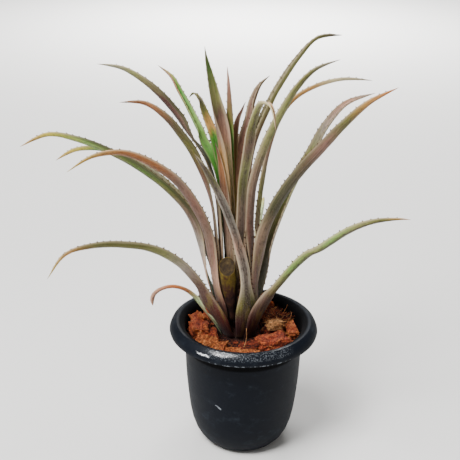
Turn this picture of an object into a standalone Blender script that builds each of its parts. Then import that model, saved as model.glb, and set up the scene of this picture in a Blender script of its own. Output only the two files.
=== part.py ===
"""Potted aechmea: a spiny bromeliad in a black nursery pot filled with coir husk.

Metres, +Z up. The origin is the middle of the pot's base, and the viewer stands at -Y.
"""
import math
import random

import bmesh
import bpy
import numpy as np
from mathutils import Matrix, Vector, noise

MM = 0.001
GAP = 0.0003

# Pot: turned wall line, then its wall thickness
POT_HEIGHT = 0.1086
RIM_RADIUS = 0.0593
MOUTH_RADIUS = 0.0508
WALL = 0.0014
POT_STEPS = 36
FOOT_RADIUS = 0.030
FOOT_HOLES = 6
FOOT_HOLE_RADIUS = 0.0035
FOOT_HOLE_CIRCLE = 0.019
FOOT_NOTCHES = 4
FOOT_NOTCH_TURN = math.radians(49)
FOOT_NOTCH = (0.012, 0.008, 0.009)

# Coir husk: the fill's top, the hole for the stem, and the chips on it
COIR_TOP = 0.0935
COIR_SIDE_GAP = 0.0004
COIR_RINGS = 7
COIR_SPOKES = 24
COIR_ROUGHNESS = 0.0018
STEM_HOLE_RADIUS = 0.0176
STEM_HOLE_DEPTH = 0.0153
CHIP_COUNT = 20
CHIP_SIZES = ((0.0060, 0.0100), (0.0042, 0.0066), (0.0034, 0.0055))
CHIP_CLEAR = 0.0175
CHIP_PITCH = 0.0105
CHIP_CIRCLE = 0.0385

# Plant: where its stem stands, how far it leans to the left, and its rings of sheaths
PLANT = Vector((-0.004, 0.009, 0.094))
LEAN = math.radians(4.5)
LEAF_THICKNESS = 0.0007
RING_RADIUS = 13.5
RING_PITCH = 0.92
RING_LOW = -4.0
RING_RISE = 2.8
BULB = 7.5
BULB_LOSS = 0.53
BULB_HEIGHT = 28.0
BULB_RISE = ((0.62, 0.45), (1.0, 1.0))
SWEEP_START = 0.3
TAPER_START = 70.0
FOOT_SHARE = 0.8
FOOT_LENGTH = 24.0
WAIST = 0.9
CLASP = 46.0
CLASP_GROWTH = 60.0
CLASP_MOST = 150.0
CLASP_HEART = 190.0
HEART_RING = 10
CLASP_EASE = 70.0
CHANNEL = math.radians(85)
ROLL = math.radians(35)
ROLL_ALONE = {"leaf_05": math.radians(-6)}
CLEAR_REACH = (17.0, 34.0)
SETTLE = 0.15
ROW_PITCH = 13.0
COLUMNS = 4
HEART_COLUMNS = 10
TOOTH_HEIGHT = 1.8
TOOTH_BASE = 2.4
TOOTH_HOOK = 0.9

# Each leaf: its azimuth in degrees, its ring counted from the outside, its sheath's and blade's
# widths, how far its tip is swept sideways, and its curve past the bulb as (reach, height), all
# in millimetres
LEAVES = {
    "leaf_dead_curl": (185, 0, 11, 8.0, 0, [
        (18, 7), (24, 18), (31, 30), (40, 41), (50, 46), (60, 45), (67, 40), (69, 31)]),
    "leaf_01": (333, 0, 28, 12.0, 0, [
        (17, 6), (27, 31), (39.5, 48), (52, 64), (66, 79), (77, 86), (100, 104), (119, 114), (137, 119),
        (146, 120)]),
    "leaf_02": (43, 0, 13, 14.0, 54, [
        (18.5, 8), (27.5, 30), (36, 50), (47, 66), (61, 76), (75, 79), (90, 80)]),
    "leaf_03": (216, 1, 24, 13.0, 0, [
        (17, 9), (24, 27), (36, 55), (52, 79), (73, 97), (96, 108), (119, 115), (142, 116), (158, 103)]),
    "leaf_04": (298, 1, 21, 9.5, -57, [
        (19.8, 45), (19.6, 60), (22, 80), (27, 102), (34, 124), (43, 145), (55, 166), (69, 186)]),
    "leaf_05": (24, 1, 17, 14.0, 0, [
        (28, 53), (37, 78), (48, 101), (60, 122), (75, 141), (89, 161), (108, 177), (135, 182)]),
    "leaf_06": (176, 2, 16, 14.0, 0, [
        (22, 49), (26, 80), (34, 107), (49, 128), (69, 146), (90, 160), (113, 171), (137, 177),
        (161, 169)]),
    "leaf_07": (335, 2, 18, 15.0, 0, [
        (18.8, 45), (23, 71), (32, 98), (46, 124), (63, 147), (81, 167), (97, 185), (115, 202),
        (135, 214)]),
    "leaf_08": (205, 3, 20, 13.0, 0, [
        (18, 47), (18.3, 69), (22, 96), (31, 121), (44, 143), (62, 160), (82, 172), (104, 174),
        (124, 167)]),
    "leaf_09": (19, 3, 12, 10.0, 0, [
        (19.3, 58), (22.5, 85), (26.3, 110), (31, 133), (37, 155), (46, 175), (59, 190), (79, 198),
        (102, 200), (126, 196)]),
    "leaf_10": (152, 4, 16, 13.0, 0, [
        (18, 52), (27, 79), (35, 99), (46, 114), (61, 127), (79, 137), (99, 144), (121, 148),
        (147, 145), (171, 134)]),
    "leaf_11": (355, 4, 12, 13.0, 0, [
        (15.5, 56), (16, 83), (17.5, 106), (20.8, 128), (27.3, 149), (36, 169), (46, 187), (57, 204),
        (71, 218), (89, 225)]),
    "leaf_12": (186, 5, 17, 14.0, 0, [
        (13.6, 60), (13.4, 80), (13.4, 100), (14.5, 118), (18.3, 138), (25, 157), (33.5, 173),
        (44, 189), (58, 201), (76, 204)]),
    "leaf_13": (35, 5, 11, 16.0, 0, [
        (13.5, 80), (17, 120), (27, 155), (47, 187), (61, 203), (76, 217), (95, 229), (121, 228)]),
    "leaf_14": (311, 7, 10, 11.0, 0, [
        (7.1, 35), (7.5, 60), (9.2, 80), (12.6, 96), (18, 132), (23.5, 154), (30.8, 176), (37.3, 191),
        (41.8, 199), (46, 203), (52.6, 203), (56.1, 198), (58.3, 185)]),
    "leaf_15": (180, 6, 16, 15.0, 0, [
        (11, 60), (10, 100), (10.2, 118), (11.8, 134), (15.7, 152), (24, 170), (34, 187), (45, 203),
        (57, 216), (72, 227), (90, 232)]),
    "leaf_16": (45, 6, 12, 18.0, 0, [
        (11.6, 60), (11.6, 90), (14.2, 125), (17, 146), (20, 157), (25, 170), (33, 187), (42, 200),
        (54, 206)]),
    "leaf_17": (140, 10, 25, 14.0, 0, [
        (4.4, 34), (4.5, 70), (4.5, 110), (4.6, 140), (4.8, 160), (5.2, 171), (6.2, 183), (7.6, 195),
        (8.8, 206), (10.2, 217), (11.6, 227), (12.5, 238)]),
    "leaf_18": (128, 8, 8, 12.0, 0, [
        (7.2, 75), (7.2, 110), (8.6, 130), (13, 144), (20.5, 154), (29, 163), (38, 174), (47, 185),
        (57, 196), (67, 207), (85, 214)]),
    "leaf_19": (60, 8, 6, 8.0, 0, [
        (7, 80), (7, 110), (9, 135), (13, 153), (18, 172), (24, 181), (36, 188)]),
    "leaf_20": (122, 9, 6, 10.0, 0, [
        (5.9, 80), (5.9, 115), (8.3, 140), (12.5, 155), (17, 168), (22, 177), (29, 187), (41, 196),
        (52, 191)]),
    "leaf_21": (55, 9, 6, 9.0, 0, [
        (6.0, 80), (6.0, 115), (6.5, 140), (7.5, 160), (9, 178), (10, 195), (10.5, 211), (10, 222)]),
    "leaf_22": (228, 9, 12, 5.0, 0, [
        (5.6, 32), (5.7, 80), (5.8, 115), (6.1, 130), (6.6, 148), (8, 159), (10.5, 168)]),
}
BARE_LEAVES = ("leaf_dead_curl", "leaf_19", "leaf_22")

# Stump of an old flower shoot, between two sheaths at the front, cut off at a slant
STUMP_AZIMUTH = math.radians(251)
STUMP_FOOT = (11.0, 15.0)
STUMP_HEAD = (15.6, 75.0)
STUMP_RADIUS = 6.8
STUMP_NECK = 2.8
STUMP_CUT = 0.873
STUMP_CUT_SLOPE = 0.9


def clear_scene():
    for thing in list(bpy.data.objects):
        bpy.data.objects.remove(thing, do_unlink=True)


def new_collection(name):
    collection = bpy.data.collections.new(name)
    bpy.context.scene.collection.children.link(collection)
    return collection


def material(name, colour, roughness, metallic=0.0):
    made = bpy.data.materials.new(name)
    made.use_nodes = True
    shader = made.node_tree.nodes["Principled BSDF"]
    shader.inputs["Base Color"].default_value = (*colour, 1)
    shader.inputs["Roughness"].default_value = roughness
    shader.inputs["Metallic"].default_value = metallic
    return made


def add_object(name, bm, collection, finish=None):
    mesh = bpy.data.meshes.new(name)
    bm.to_mesh(mesh)
    bm.free()
    thing = bpy.data.objects.new(name, mesh)
    collection.objects.link(thing)
    if finish:
        mesh.materials.append(finish)
    return thing


def smooth(thing, angle=math.radians(40)):
    thing.data.shade_smooth()
    thing.data.set_sharp_from_angle(angle=angle)


def turned(name, profile, steps, collection, finish=None):
    """Turn a profile of (radius, height), which runs from top to bottom, about Z."""
    bm = bmesh.new()
    line = [bm.verts.new((radius, 0, height)) for radius, height in profile]
    for upper, lower in zip(line, line[1:]):
        bm.edges.new((upper, lower))
    thing = add_object(name, bm, collection, finish)
    screw = thing.modifiers.new("Turn", "SCREW")
    screw.steps = screw.render_steps = steps
    screw.use_merge_vertices = True
    screw.merge_threshold = 0.00001
    return thing


def cutter(name, bm, collection):
    thing = add_object(name, bm, collection)
    thing.hide_render = True
    thing.display_type = "WIRE"
    return thing


def cut(thing, tool):
    boolean = thing.modifiers.new(tool.name, "BOOLEAN")
    boolean.object = tool
    boolean.operation = "DIFFERENCE"


def apply_modifiers(thing):
    mesh = bpy.data.meshes.new_from_object(thing.evaluated_get(bpy.context.evaluated_depsgraph_get()))
    thing.modifiers.clear()
    thing.data = mesh


# Pot

def pot_wall():
    """The pot's outer line from the rim's rolled edge down to the middle of the base."""
    roll = [(RIM_RADIUS, 0.1014), (RIM_RADIUS, 0.1042), (0.0580, 0.1069), (0.0552, POT_HEIGHT),
            (MOUTH_RADIUS, 0.1066), (0.0498, 0.1026)]
    side = [(0.0486, 0.0930), (0.0478, 0.0690), (0.0465, 0.0490), (0.0443, 0.0290),
            (0.0400, 0.0120), (0.0370, 0.0065), (0.0335, 0.0022)]
    return roll + side + [(FOOT_RADIUS, 0.0), (0.0, 0.0)]


def make_pot(parts, cutters):
    pot = turned("pot", pot_wall(), POT_STEPS, parts, material("black plastic", (0.014, 0.017, 0.021), 0.32))
    shell = pot.modifiers.new("Wall", "SOLIDIFY")
    shell.thickness = WALL
    shell.offset = -1
    shell.use_even_offset = True

    tools = bmesh.new()
    for index in range(FOOT_HOLES):
        turn = Matrix.Rotation(math.tau * index / FOOT_HOLES, 4, "Z")
        bmesh.ops.create_cone(tools, cap_ends=True, segments=12, radius1=FOOT_HOLE_RADIUS,
                              radius2=FOOT_HOLE_RADIUS, depth=0.01,
                              matrix=turn @ Matrix.Translation((FOOT_HOLE_CIRCLE, 0, 0)))
    for index in range(FOOT_NOTCHES):
        turn = Matrix.Rotation(math.tau * index / FOOT_NOTCHES + FOOT_NOTCH_TURN, 4, "Z")
        size = Matrix.Diagonal((*FOOT_NOTCH, 1))
        bmesh.ops.create_cube(tools, matrix=turn @ Matrix.Translation((0.036, 0, 0.001)) @ size)
    cut(pot, cutter("pot_base_openings", tools, cutters))
    smooth(pot)


# Coir husk

def coir_side():
    """The fill's outline: out to the wall at the top, down inside the wall, and in along the base."""
    inner = WALL + COIR_SIDE_GAP
    wall = [(0.0485, 0.0920), (0.0478, 0.0690), (0.0465, 0.0490), (0.0443, 0.0290),
            (0.0400, 0.0125), (0.0370, 0.0074)]
    side = [(radius - inner - 0.0003, height) for radius, height in wall[1:]]
    floor = inner + 0.0012
    return [(wall[0][0] - inner - 0.0002, COIR_TOP)] + side + [(0.0310, floor), (0.0, floor)]


def make_chip(chips, place, size, turn, seed):
    """One angular chip: a rough ball of few sides, squashed and turned."""
    chip = bmesh.new()
    bmesh.ops.create_icosphere(chip, subdivisions=1, radius=1)
    draw = random.Random(seed)
    for vert in chip.verts:
        vert.co *= draw.uniform(0.78, 1.12)
    squash = Matrix.Diagonal((*size, 1))
    bmesh.ops.transform(chip, matrix=Matrix.Translation(place) @ turn @ squash, verts=chip.verts)
    chips.objects.link(bpy.data.objects.new("chip", bpy.data.meshes.new("chip")))
    chip.to_mesh(chips.objects[-1].data)
    chip.free()


def make_coir(parts, cutters):
    finish = material("coir husk", (0.36, 0.13, 0.055), 0.95)
    top = [(0.0486 * ring / COIR_RINGS, COIR_TOP) for ring in range(COIR_RINGS)]
    bed = turned("coir_bed", top + coir_side(), COIR_SPOKES, parts, finish)
    apply_modifiers(bed)
    for vert in bed.data.vertices:
        if vert.co.z > COIR_TOP - MM and vert.co.xy.length < 0.045:
            vert.co.z += COIR_ROUGHNESS * noise.noise(vert.co * 170)

    chips = new_collection("chips")
    draw = random.Random(11)
    placed = []
    centre = PLANT.xy
    for attempt in range(900):
        if len(placed) == CHIP_COUNT:
            break
        angle, radius = draw.uniform(0, math.tau), CHIP_CIRCLE * math.sqrt(draw.uniform(0.1, 1))
        size = [draw.uniform(low, high) for low, high in CHIP_SIZES]
        spot = Vector((radius * math.cos(angle), radius * math.sin(angle), COIR_TOP + 0.0008))
        away = (spot.xy - centre).length - size[0] * 1.1
        if away < CHIP_CLEAR or any((spot.xy - other).length < CHIP_PITCH for other in placed):
            continue
        placed.append(spot.xy)
        turn = Matrix.Rotation(draw.uniform(0, math.tau), 4, "Z")
        turn = turn @ Matrix.Rotation(draw.uniform(-0.35, 0.35), 4, "X")
        make_chip(chips, spot, size, turn, attempt)
    join = bed.modifiers.new("Chips", "BOOLEAN")
    join.operation = "UNION"
    join.operand_type = "COLLECTION"
    join.collection = chips
    join.solver = "EXACT"
    apply_modifiers(bed)
    for chip in list(chips.objects):
        bpy.data.objects.remove(chip, do_unlink=True)
    bpy.data.collections.remove(chips)

    hole = bmesh.new()
    bmesh.ops.create_cone(hole, cap_ends=True, segments=24, radius1=STEM_HOLE_RADIUS,
                          radius2=STEM_HOLE_RADIUS, depth=2 * STEM_HOLE_DEPTH, matrix=plant_frame())
    cut(bed, cutter("stem_hole", hole, cutters))


# Plant

def plant_frame():
    """The plant's own frame: its foot, turned so that its stem leans to the left."""
    return Matrix.Translation(PLANT) @ Matrix.Rotation(-LEAN, 4, "Y")


def ring_foot(ring):
    """Radius and height, in millimetres, where a ring's sheaths leave the stem."""
    return RING_RADIUS - RING_PITCH * ring, RING_LOW + RING_RISE * ring


def bulb_points(ring, lowest):
    """A sheath's first points: its foot, and the bulb's swelling where the leaf rises that far."""
    radius, height = ring_foot(ring)
    swell = BULB - BULB_LOSS * ring
    rise = [(radius + swell * part, height + BULB_HEIGHT * share) for part, share in BULB_RISE]
    return [(radius, height)] + [point for point in rise if point[1] < lowest - 8]


def smoothstep(low, high, value):
    t = min(max((value - low) / (high - low), 0), 1)
    return t * t * (3 - 2 * t)


def curve_through(points, pieces=12):
    """A smooth curve through the points, as dense points and the lengths along them."""
    knots = np.array([points[0], *points, points[-1]], float)
    dense = []
    for before, start, end, after in zip(knots, knots[1:], knots[2:], knots[3:]):
        for t in np.arange(pieces) / pieces:
            bend = 2 * before - 5 * start + 4 * end - after
            twist = 3 * start - before - 3 * end + after
            dense.append(0.5 * (2 * start + (end - before) * t + bend * t ** 2 + twist * t ** 3))
    dense = np.array(dense + [knots[-1]])
    lengths = np.concatenate([[0], np.cumsum(np.linalg.norm(np.diff(dense, axis=0), axis=1))])
    return dense, lengths


def clasp_end(ring):
    """How far along a leaf its sheath still clasps the stem; the heart leaf's is a closed tube."""
    return CLASP_HEART if ring == HEART_RING else min(CLASP + CLASP_GROWTH * max(ring - 4, 0), CLASP_MOST)


def leaf_width(along, length, ring, sheath, blade):
    """Width across the leaf: a narrow foot, the clasping sheath, a waist, the blade, and a long taper."""
    end = clasp_end(ring)
    foot = FOOT_SHARE + (1 - FOOT_SHARE) * smoothstep(0, FOOT_LENGTH, along)
    parting = smoothstep(max(FOOT_LENGTH, end - CLASP_EASE), end + 12, along)
    waist = WAIST + (1 - WAIST) * smoothstep(end, end + 60, along)
    taper = max(along - TAPER_START, 0) / (length - TAPER_START)
    return (sheath + (blade * waist - sheath) * parting) * foot * (1 - taper ** 5) + 0.01


def leaf_mesh(name):
    azimuth, ring, sheath, blade, sweep, points = LEAVES[name]
    turn = math.radians(azimuth)
    outward = Vector((math.cos(turn), math.sin(turn), 0))
    across = Vector((-math.sin(turn), math.cos(turn), 0))
    dense, lengths = curve_through([*bulb_points(ring, points[0][1]), *points])
    length = lengths[-1]
    rows = max(8, round(length / ROW_PITCH))

    def place(side, along):
        """A point on the leaf: side runs from -1 to 1 across it, and along from 0 to 1."""
        here = along * length
        reach, height = (np.interp(here, lengths, dense[:, k]) for k in (0, 1))
        low, high = (np.interp((here - 2, here + 2), lengths, dense[:, k]) for k in (0, 1))
        run = Vector((low[1] - low[0], high[1] - high[0])).normalized()
        width = leaf_width(here, length, ring, sheath, blade)
        parted = smoothstep(clasp_end(ring) - 10, clasp_end(ring) + 50, here)
        free = max(parted, smoothstep(*CLEAR_REACH, reach))
        roll = -ROLL_ALONE.get(name, ROLL) * math.cos(turn) * free
        back = outward * run.y - Vector((0, 0, run.x))
        under = back * math.cos(roll) + across * math.sin(roll)
        aside = across * math.cos(roll) - back * math.sin(roll)
        radius = reach + (width / (2 * CHANNEL) - reach) * free
        angle = width / (2 * radius) * max(-1, min(1, side))
        past = (abs(side) - 1) * width / 2 * (1 if side > 0 else -1) if abs(side) > 1 else 0
        point = outward * reach + Vector((0, 0, height))
        point += across * sweep * (max(along - SWEEP_START, 0) / (1 - SWEEP_START)) ** 1.5
        point += under * (radius * (math.cos(angle) - 1 + SETTLE * free) - past * math.sin(angle))
        point += aside * (radius * math.sin(angle) + past * math.cos(angle))
        return plant_frame() @ (point * MM)

    bm = bmesh.new()
    columns = HEART_COLUMNS if ring == HEART_RING else COLUMNS
    bmesh.ops.create_grid(bm, x_segments=columns, y_segments=rows, size=1)
    for vert in bm.verts:
        vert.co.y = (vert.co.y + 1) / 2
    if name not in BARE_LEAVES:
        add_teeth(bm, name, length)
    bmesh.ops.triangulate(bm, faces=bm.faces)
    for vert in bm.verts:
        vert.co = place(vert.co.x, vert.co.y)
    bmesh.ops.remove_doubles(bm, verts=bm.verts, dist=0.00004)
    return bm


def add_teeth(bm, name, length):
    """Raise one hooked tooth on each stretch of both edges, past the sheath and short of the tip."""
    _, ring, sheath, blade, _, _ = LEAVES[name]
    edges = [edge for edge in bm.edges if edge.is_boundary
             and abs(edge.verts[0].co.x) > 0.99 and abs(edge.verts[1].co.x) > 0.99
             and abs(edge.verts[0].co.y - edge.verts[1].co.y) > 1e-6]
    for edge in edges:
        lower, upper = sorted(edge.verts, key=lambda vert: vert.co.y)
        start, stretch = lower.co.y * length, (upper.co.y - lower.co.y) * length
        if start < clasp_end(ring) - 8 or start > length - 1.5 * ROW_PITCH:
            continue
        side = 1 if lower.co.x > 0 else -1
        rest, root = bmesh.utils.edge_split(edge, lower, TOOTH_BASE / stretch)
        first = next(e for e in root.link_edges if e.other_vert(root) == lower)
        _, tip = bmesh.utils.edge_split(first, lower, 0.6)
        size = TOOTH_HEIGHT * (1 - 0.45 * start / length)
        tip.co.x = side * (1 + 2 * size / leaf_width(start, length, ring, sheath, blade))
        tip.co.y += TOOTH_HOOK / length


def make_leaves(parts):
    finishes = {"live": material("silver-scurfed leaf", (0.20, 0.17, 0.13), 0.62),
                "dead": material("dried leaf", (0.52, 0.24, 0.09), 0.8)}
    for name in LEAVES:
        finish = finishes["dead" if name in BARE_LEAVES else "live"]
        leaf = add_object(name, leaf_mesh(name), parts, finish)
        thickness = leaf.modifiers.new("Thickness", "SOLIDIFY")
        thickness.thickness = LEAF_THICKNESS
        thickness.offset = 0
        smooth(leaf, math.radians(60))


def make_stem(parts):
    """The short trunk: a cone whose side the sheaths' feet stand round."""
    rings = 11
    inset = LEAF_THICKNESS / 2 / MM + GAP / MM
    profile = [(0.0, ring_foot(rings)[1] + 3)]
    profile += [(ring_foot(ring)[0] - inset, ring_foot(ring)[1]) for ring in (10.5, 5, 0)]
    profile += [(RING_RADIUS - inset - 1, -8.0), (9.0, -15.0), (0.0, -15.0)]
    stem = turned("stem", [(radius * MM, height * MM) for radius, height in profile], 20, parts,
                  material("stem", (0.10, 0.06, 0.05), 0.85))
    stem.matrix_world = plant_frame()
    smooth(stem)


def make_stump(parts):
    """The dried stub of an old flower shoot: a slim neck, a thick head and a slanting cut end."""
    foot, head = (Vector((reach * math.cos(STUMP_AZIMUTH), reach * math.sin(STUMP_AZIMUTH), height)) * MM
                  for reach, height in (STUMP_FOOT, STUMP_HEAD))
    tall = (head - foot).length
    profile = [(0.0, 1.0), (0.45, 0.99), (0.85, 0.95), (1.0, 0.88), (0.98, 0.76), (0.94, 0.62), (0.86, 0.48)]
    neck = STUMP_NECK / STUMP_RADIUS
    profile += [(neck * 1.7, 0.32), (neck, 0.2), (neck, 0.0), (0.0, 0.0)]
    stump = turned("flower_stump", [(r * STUMP_RADIUS * MM, h * tall) for r, h in profile], 14, parts,
                   material("dried shoot", (0.11, 0.075, 0.035), 0.95))
    apply_modifiers(stump)
    for vert in stump.data.vertices:
        vert.co.z = min(vert.co.z, tall * STUMP_CUT + vert.co.y * STUMP_CUT_SLOPE)
    tilt = Vector((0, 0, 1)).rotation_difference(head - foot).to_matrix().to_4x4()
    stump.matrix_world = plant_frame() @ Matrix.Translation(foot) @ tilt
    smooth(stump)


clear_scene()
PARTS = new_collection("potted aechmea")
CUTTERS = new_collection("cutters")
make_pot(PARTS, CUTTERS)
make_coir(PARTS, CUTTERS)
make_stem(PARTS)
make_stump(PARTS)
make_leaves(PARTS)
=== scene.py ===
"""Potted aechmea: the finished look of the pot, the coir husk, the stem, the leaves and the flower stump."""

import math
import random

import bmesh
import bpy
import numpy as np
from mathutils import Matrix, Vector, noise


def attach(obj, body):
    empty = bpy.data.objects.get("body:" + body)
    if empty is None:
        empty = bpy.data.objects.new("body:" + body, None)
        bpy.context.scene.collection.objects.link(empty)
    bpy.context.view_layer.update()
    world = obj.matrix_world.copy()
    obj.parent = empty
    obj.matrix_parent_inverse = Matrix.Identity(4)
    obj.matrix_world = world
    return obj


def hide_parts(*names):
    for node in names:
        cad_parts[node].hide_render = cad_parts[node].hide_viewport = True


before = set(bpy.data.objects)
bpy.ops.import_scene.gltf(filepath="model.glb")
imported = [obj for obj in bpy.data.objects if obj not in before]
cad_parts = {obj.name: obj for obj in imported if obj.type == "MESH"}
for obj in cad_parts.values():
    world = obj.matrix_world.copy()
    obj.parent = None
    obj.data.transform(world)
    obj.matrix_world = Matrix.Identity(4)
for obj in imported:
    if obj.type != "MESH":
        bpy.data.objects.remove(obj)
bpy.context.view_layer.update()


# Nursery pot
# Injection-moulded black polypropylene, one thin wall with a rolled rim, drain holes and foot notches.
# It is dull on the body, scuffed by handling, and wet and glossy on top of the roll in front.
# Its colour also holds painted light: sheen in the dust, highlights on the drops, the lip and a white streak,
# and shade inside

MM = 0.001
WELD = 0.00001
POT_WALL = 0.0014
POT_STEPS = 120
POT_CREASE = math.radians(35)
POT_ROLL = [(59.3, 101.4), (59.7, 102.8), (59.3, 104.2), (58.0, 106.9), (55.2, 108.6), (52.9, 108.2),
            (50.8, 106.6), (50.0, 104.8), (49.8, 102.6)]
POT_SIDE = [(48.6, 93.0), (48.2, 81.0), (47.8, 69.0), (47.3, 59.0), (46.5, 49.0), (45.5, 39.0), (44.3, 29.0),
            (42.6, 20.0), (40.0, 12.0), (37.0, 6.5), (33.5, 2.2), (30.0, 0.0)]
HOLES = 6
HOLE_STEPS = 24
HOLE_RING = 0.019
HOLE_RADIUS = 0.0035
HOLE_DEPTH = 0.01
NOTCHES = 4
NOTCH_TURN = math.radians(49)
NOTCH_SPOT = (0.036, 0, 0.001)
NOTCH_SIZE = (0.012, 0.008, 0.009)
# Of these, the dust also paints sheen, the pale grey paints glints beside a real scuff, the white is a
# painted reflection, and the deepest black is painted shade
POT_BLACK = "060b14"
POT_DUST_AND_SHEEN = "586470"
POT_INSIDE_SHADE = "010102"
POT_WORN_AND_GLINT = "bfc8d2"
STREAK_HIGHLIGHT = "f2f4f6"

# Where the marks on the pot lie, in metres; a pair says where the soft edge of a mark starts and ends
WET_MIDDLE = 0.003
WET_HALF = (0.026, 0.038)
WET_FORWARD = (0.036, 0.046)
WET_TOP = (0.1045, 0.1065)
LIP_HEIGHT = 0.1016
LIP_HALF = (0.0002, 0.0007)
STREAK_ACROSS = -0.032
STREAK_HEIGHT = 0.1060
STREAK_FORWARD = (0.036, 0.042)
STREAK_HALF = (0.003, 0.0054)
STREAK_THICK = (0.0003, 0.0008)
SCUFF_ACROSS = -0.0195
SCUFF_HEIGHT = 0.0515
SCUFF_SLOPE = 0.7
SCUFF_FORWARD = (0.03, 0.036)
SCUFF_HALF = (0.0014, 0.003)
SCUFF_THICK = (0.0004, 0.0011)
INSIDE_RADIUS = (0.0522, 0.0540)
INSIDE_HEIGHT = (0.088, 0.09)


def paint(code):
    """A colour as the shader wants it, from its usual six-figure code."""
    parts = [int(code[place:place + 2], 16) / 255 for place in (0, 2, 4)]
    return (*(part / 12.92 if part <= 0.04045 else ((part + 0.055) / 1.055) ** 2.4 for part in parts), 1.0)


class Value:
    """A number or a colour on its way through a material, so that sums read as plain arithmetic."""

    def __init__(self, finish, socket):
        self.finish = finish
        self.socket = socket

    def maths(self, operation, first, second=0.0):
        return self.finish.node("ShaderNodeMath", {"operation": operation}, {0: first, 1: second})

    def __add__(self, other):
        return self.maths("ADD", self, other)

    def __radd__(self, other):
        return self.maths("ADD", other, self)

    def __sub__(self, other):
        return self.maths("SUBTRACT", self, other)

    def __rsub__(self, other):
        return self.maths("SUBTRACT", other, self)

    def __mul__(self, other):
        return self.maths("MULTIPLY", self, other)

    def __rmul__(self, other):
        return self.maths("MULTIPLY", other, self)

    def __abs__(self):
        return self.maths("ABSOLUTE", self)

    def root(self):
        return self.maths("SQRT", self)

    def clip(self, low, high):
        """0 below low, 1 above high, and a smooth rise between them."""
        return self.finish.node("ShaderNodeMapRange", {"interpolation_type": "SMOOTHSTEP"},
                                {"Value": self, "From Min": low, "From Max": high})

    def near(self, middle, close, far):
        """1 within close of the middle, 0 further off than far, and a smooth fall between them."""
        return 1.0 - abs(self - middle).clip(close, far)


class Finish:
    """A material being built: its shader's even values, its nodes, and what varies over the surface."""

    def __init__(self, name, **even):
        self.material = bpy.data.materials.new(name)
        self.material.use_nodes = True
        self.tree = self.material.node_tree
        self.shader = self.tree.nodes["Principled BSDF"]
        self.shade(**even)

    def feed(self, node, sockets):
        for key, value in sockets.items():
            if isinstance(value, Value):
                self.tree.links.new(value.socket, node.inputs[key])
            else:
                node.inputs[key].default_value = value

    def node(self, kind, settings, sockets, out=0):
        """Any other node: its type, its settings, and the values or links of its sockets."""
        made = self.tree.nodes.new(kind)
        for key, value in settings.items():
            if key == "stops":
                ramp = made.color_ramp
                while len(ramp.elements) < len(value):
                    ramp.elements.new(1.0)
                for element, (place, code) in zip(ramp.elements, value):
                    element.position = place
                    element.color = paint(code)
            else:
                setattr(made, key, value)
        self.feed(made, sockets)
        return Value(self, made.outputs[out])

    def place(self):
        return self.node("ShaderNodeTexCoord", {}, {}, "Object")

    def read(self, attribute):
        return self.node("ShaderNodeAttribute", {"attribute_name": attribute}, {}, "Vector")

    def noise(self, vector, scale, detail=4.0, roughness=0.55):
        return self.node("ShaderNodeTexNoise", {}, {"Vector": vector, "Scale": scale, "Detail": detail,
                                                    "Roughness": roughness}, "Fac")

    def stretch(self, vector, scale, shift=(0, 0, 0)):
        return self.node("ShaderNodeMapping", {}, {"Vector": vector, "Scale": scale, "Location": shift})

    def split(self, vector):
        made = self.node("ShaderNodeSeparateXYZ", {}, {"Vector": vector})
        return [Value(self, made.socket.node.outputs[part]) for part in range(3)]

    def ramp(self, share, stops):
        return self.node("ShaderNodeValToRGB", {"stops": stops}, {"Fac": share})

    def mix(self, share, first, second):
        return self.node("ShaderNodeMix", {"data_type": "RGBA"}, {0: share, 6: first, 7: second}, 2)

    def coats(self, colour, coats):
        """A colour under coats that are laid on in turn, each with its share and its colour's code."""
        for share, code in coats:
            colour = self.mix(share, colour, paint(code))
        return colour

    def raised(self, height, strength, distance):
        return self.node("ShaderNodeBump", {}, {"Height": height, "Strength": strength, "Distance": distance})

    def shade(self, **sockets):
        """Set the shader's sockets, whose names have a low line for each space, and give the material."""
        self.feed(self.shader, {key.replace("_", " "): value for key, value in sockets.items()})
        return self.material


def piece(name, bm, material, node):
    """Make a finished piece of a bmesh, which rides in the pot and stands for a CAD node."""
    mesh = bpy.data.meshes.new(name)
    bm.to_mesh(mesh)
    bm.free()
    mesh.materials.append(material)
    mesh.shade_smooth()
    thing = bpy.data.objects.new(name, mesh)
    bpy.context.scene.collection.objects.link(thing)
    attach(thing, "root")
    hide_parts(node)
    return thing


def turn_profile(profile, steps):
    """Turn a line of (radius, height) in millimetres about the upright axis."""
    bm = bmesh.new()
    line = [bm.verts.new((radius * MM, 0, height * MM)) for radius, height in profile]
    edges = [bm.edges.new(pair) for pair in zip(line, line[1:])]
    bmesh.ops.spin(bm, geom=line + edges, cent=(0, 0, 0), axis=(0, 0, 1), angle=math.tau, steps=steps,
                   use_merge=True)
    bmesh.ops.remove_doubles(bm, verts=bm.verts, dist=WELD)
    bmesh.ops.recalc_face_normals(bm, faces=bm.faces)
    return bm


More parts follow.
